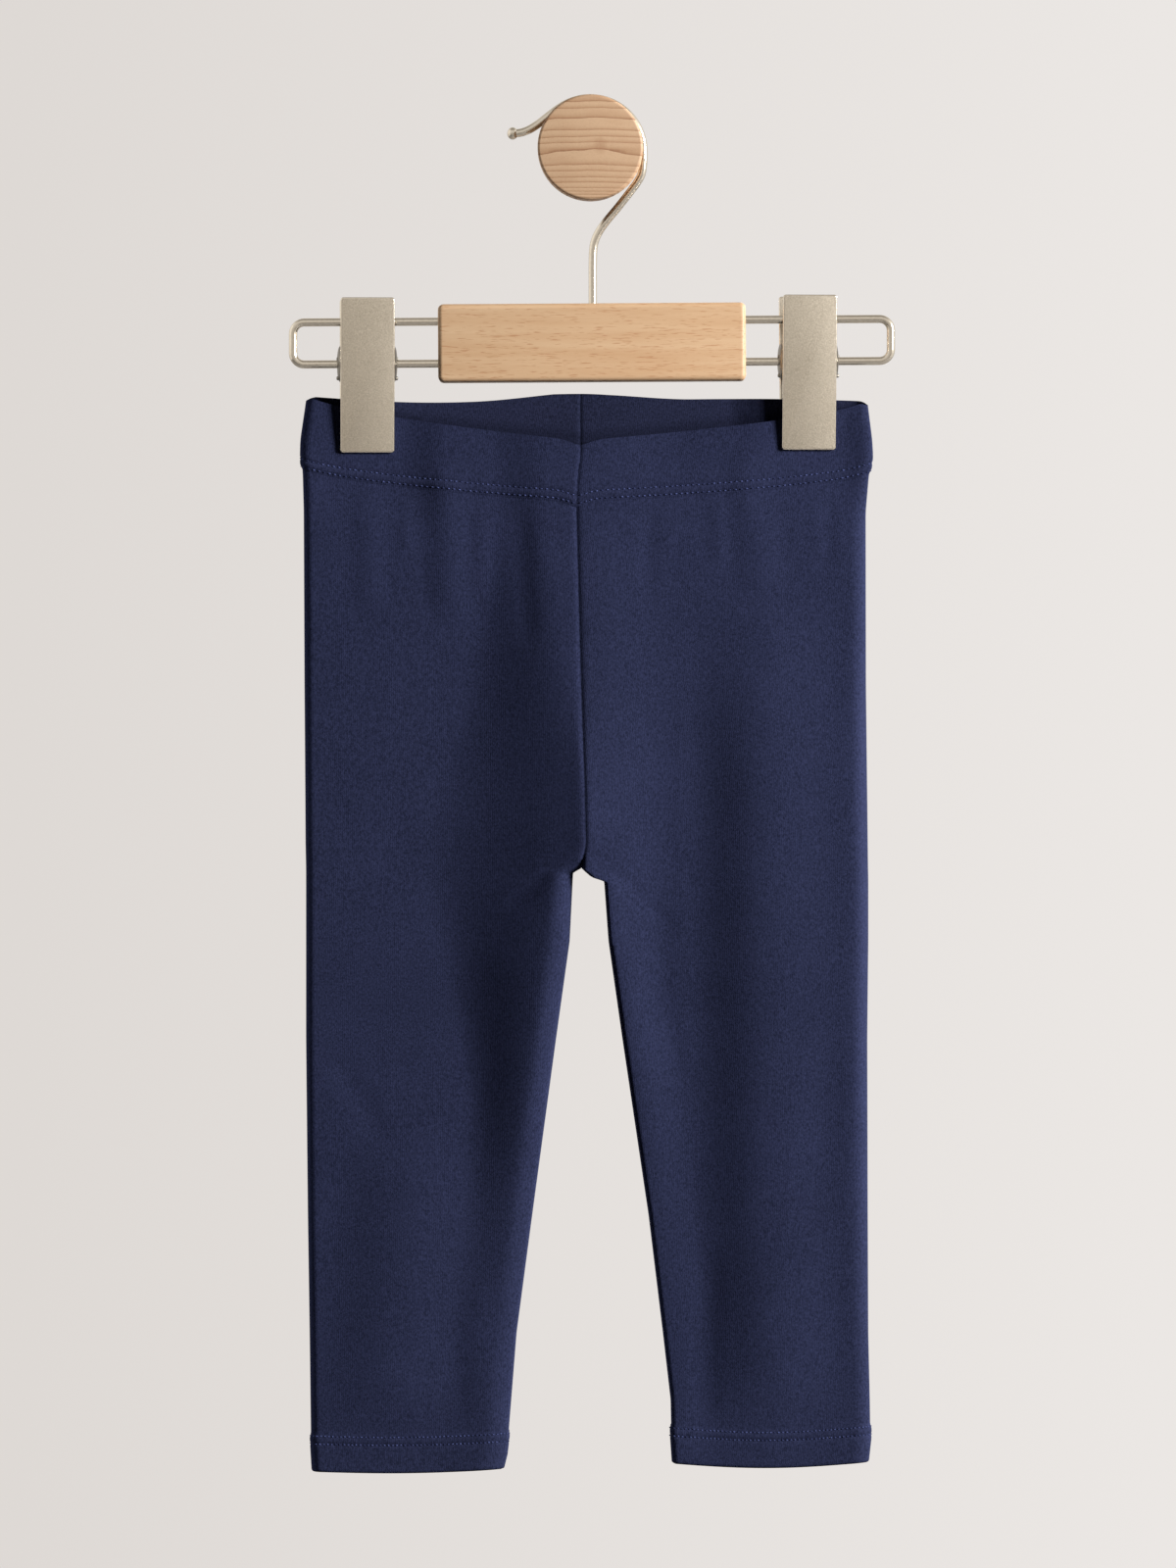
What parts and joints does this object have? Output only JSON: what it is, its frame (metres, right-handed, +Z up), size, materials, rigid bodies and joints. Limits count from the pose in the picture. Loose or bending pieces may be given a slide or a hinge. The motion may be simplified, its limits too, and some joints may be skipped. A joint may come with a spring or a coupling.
{
  "type": "leggings on a clip hanger and wall peg",
  "caption": "Child's cropped pull-on jersey leggings with an elastic casing, clipped flat to a wire and wood hanger that hangs from a round wall peg.",
  "frame": {"origin": "centre of the wall peg's back face, which lies on the wall and holds the part up", "axes": "+Z up, +Y into the wall, +X to the viewer's right, which is the wearer's left"},
  "size_m": [0.2349, 0.0428, 0.5347],
  "materials": {
    "jersey": "matt navy cotton jersey knit with a faint brushed bloom",
    "nickel_plate": "satin champagne-nickel plated sheet with polished edges",
    "nickel_wire": "polished nickel-plated wire",
    "beech": "matt lacquered beech"
  },
  "bodies": {
    "root": {"leg_right": "jersey", "leg_left": "jersey", "waistband_right": "jersey", "waistband_left": "jersey", "hem_right": "jersey", "hem_left": "jersey", "clip_right_front": "nickel_plate", "clip_right_back": "nickel_plate", "clip_right_spring": "nickel_wire", "clip_left_front": "nickel_plate", "clip_left_back": "nickel_plate", "clip_left_spring": "nickel_wire", "wire_right": "nickel_wire", "wire_left": "nickel_wire", "hook": "nickel_wire", "block": "beech", "wall_peg": "beech"}
  },
  "joints": []
}
